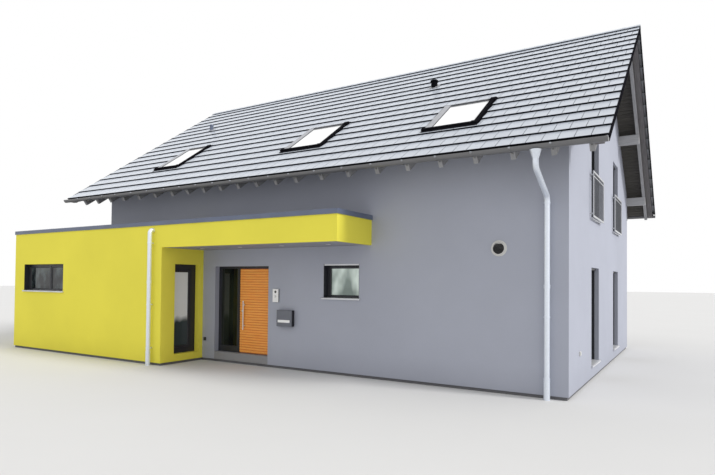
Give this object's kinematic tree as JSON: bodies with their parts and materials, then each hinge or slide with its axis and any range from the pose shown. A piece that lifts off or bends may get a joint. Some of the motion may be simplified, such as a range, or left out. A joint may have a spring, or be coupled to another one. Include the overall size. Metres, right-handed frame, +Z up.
{
  "type": "detached house",
  "caption": "Detached house with a gable roof, a low flat-roofed annex that runs on as a canopy over the entrance, and an opening front door.",
  "frame": {"origin": "on the ground at the centre of the main house", "axes": "+X to the right along the entrance front, +Y from the front to the rear, +Z up"},
  "size_m": [16.23, 12.0178, 8.346],
  "materials": {
    "grey_render": "fine matt render",
    "yellow_render": "fine matt render",
    "plinth_render": "dark matt render",
    "concrete": "smooth concrete and screed",
    "roof_membrane": "matt roofing sheet",
    "soffit_panel": "matt panel",
    "light_metal": "satin",
    "coping_metal": "satin",
    "roof_timber": "stained timber",
    "roof_boards": "stained boards",
    "roof_tile": "matt flat tile",
    "dark_frame": "satin powder coat",
    "window_glass": "clear glazing",
    "vent_plastic": "matt",
    "zinc": "weathered zinc",
    "sill_metal": "satin",
    "rail_metal": "galvanised",
    "stone_threshold": "honed stone",
    "door_wood": "oiled slats",
    "steel": "brushed",
    "box_metal": "satin"
  },
  "bodies": {
    "house": {"plinth": "plinth_render", "ground_floor": "concrete", "upper_floor": "concrete", "front_wall_left": "grey_render", "front_wall_right": "grey_render", "front_wall_over_door": "grey_render", "rear_wall": "grey_render", "right_gable_wall": "grey_render", "left_gable_wall": "grey_render", "annex_front_wall": "yellow_render", "annex_left_wall": "yellow_render", "annex_rear_wall": "yellow_render", "annex_right_wall": "yellow_render", "annex_roof": "roof_membrane", "canopy_slab": "roof_membrane", "canopy_fascia": "yellow_render", "canopy_ceiling": "soffit_panel", "canopy_downlights": "light_metal", "roof_coping": "coping_metal", "purlins": "roof_timber", "front_rafters": "roof_timber", "rear_rafters": "roof_timber", "rafter_blocking": "roof_timber", "front_roof_deck": "roof_boards", "rear_roof_deck": "roof_boards", "front_roof_tiles": "roof_tile", "rear_roof_tiles": "roof_tile", "ridge_tiles": "roof_tile", "bargeboards": "roof_boards", "roof_window_frames": "dark_frame", "roof_window_panes": "window_glass", "roof_vents": "vent_plastic", "gutters": "zinc", "gutter_brackets": "zinc", "downpipes": "zinc", "downpipe_clips": "zinc", "window_frames": "dark_frame", "window_panes": "window_glass", "window_sills": "sill_metal", "window_balustrades": "rail_metal", "entrance_threshold": "stone_threshold", "entrance_frame": "dark_frame", "sidelight_pane": "window_glass", "mailbox": "box_metal", "intercom": "steel", "outdoor_sockets": "vent_plastic", "wall_vent": "vent_plastic"},
    "door": {"front_door": "dark_frame", "front_door_slats": "door_wood", "front_door_handle": "steel", "front_door_hinges": "steel"}
  },
  "joints": [
    {"name": "front_door_hinge", "type": "hinge", "parent": "house", "child": "door", "pos_m": [-0.457, -4.521, 0.25], "axis": [0, 0, -1], "range_deg": [0, 95]}
  ]
}
